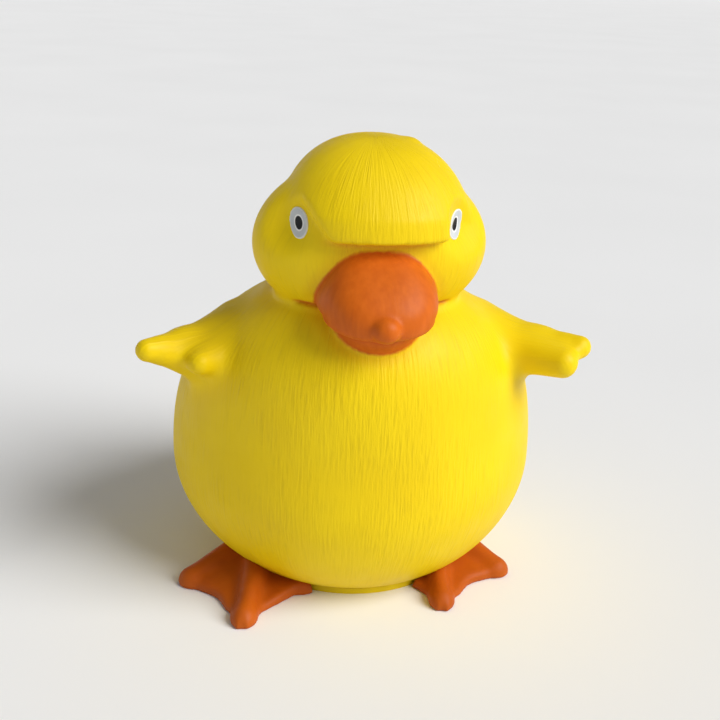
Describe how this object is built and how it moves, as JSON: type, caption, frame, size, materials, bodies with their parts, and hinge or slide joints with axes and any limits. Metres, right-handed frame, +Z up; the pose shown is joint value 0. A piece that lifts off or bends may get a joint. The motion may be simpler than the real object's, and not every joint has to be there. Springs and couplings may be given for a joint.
{
  "type": "floating chlorine dispenser",
  "caption": "Duck-shaped pool float that carries chlorine tablets in a keyed basket in its belly, closed by a quarter-turn vent cap with a flow dial.",
  "frame": {"origin": "middle of the base, on the surface that the flange and the feet stand on; the tablet well's axis is the Z axis", "axes": "+Z up along the well's axis, +X across the wings towards the duck's own left, -Y the way the duck faces"},
  "size_m": [0.212, 0.193, 0.2175],
  "materials": {
    "float_skin": "matte moulded plastic",
    "foot_plastic": "matte moulded plastic",
    "eye_print": "printed satin plastic",
    "well_plastic": "satin moulded plastic",
    "basket_plastic": "satin moulded plastic",
    "cap_plastic": "satin moulded plastic",
    "dial_plastic": "satin moulded plastic",
    "tablet_compound": "pressed powder",
    "seal_rubber": "soft silicone",
    "steel": "brushed stainless",
    "ballast_metal": "coated"
  },
  "bodies": {
    "float_body": {"front_shell": "float_skin", "rear_shell": "float_skin", "left_eye": "eye_print", "right_eye": "eye_print", "left_foot": "foot_plastic", "right_foot": "foot_plastic", "well_housing": "well_plastic", "skin_gasket": "seal_rubber", "clamp_ring": "well_plastic", "clamp_screws": "steel", "ballast_ring": "ballast_metal", "breather_tube": "well_plastic", "breather_grommet": "seal_rubber"},
    "basket": {"tablet_basket": "basket_plastic", "tablet_lower": "tablet_compound", "tablet_middle": "tablet_compound", "tablet_upper": "tablet_compound"},
    "cap": {"vent_cap": "cap_plastic"},
    "dial": {"shutter_disc": "dial_plastic", "dial_washer": "seal_rubber", "dial_knob": "dial_plastic", "knob_screw": "steel"}
  },
  "joints": [
    {"name": "basket_travel", "type": "slide", "parent": "float_body", "child": "basket", "axis": [0, 0, -1], "range_m": [0, 0.005]},
    {"name": "cap_turn", "type": "hinge", "parent": "basket", "child": "cap", "pos_m": [0, 0, 0.008], "axis": [0, 0, -1], "range_deg": [0, 75]},
    {"name": "dial_turn", "type": "hinge", "parent": "cap", "child": "dial", "pos_m": [0, 0, 0.008], "axis": [0, 0, -1], "range_deg": [0, 22.5]}
  ],
  "couplings": [
    {"joint": "cap_turn", "follows": "basket_travel", "rad_per_m": 261.8}
  ]
}
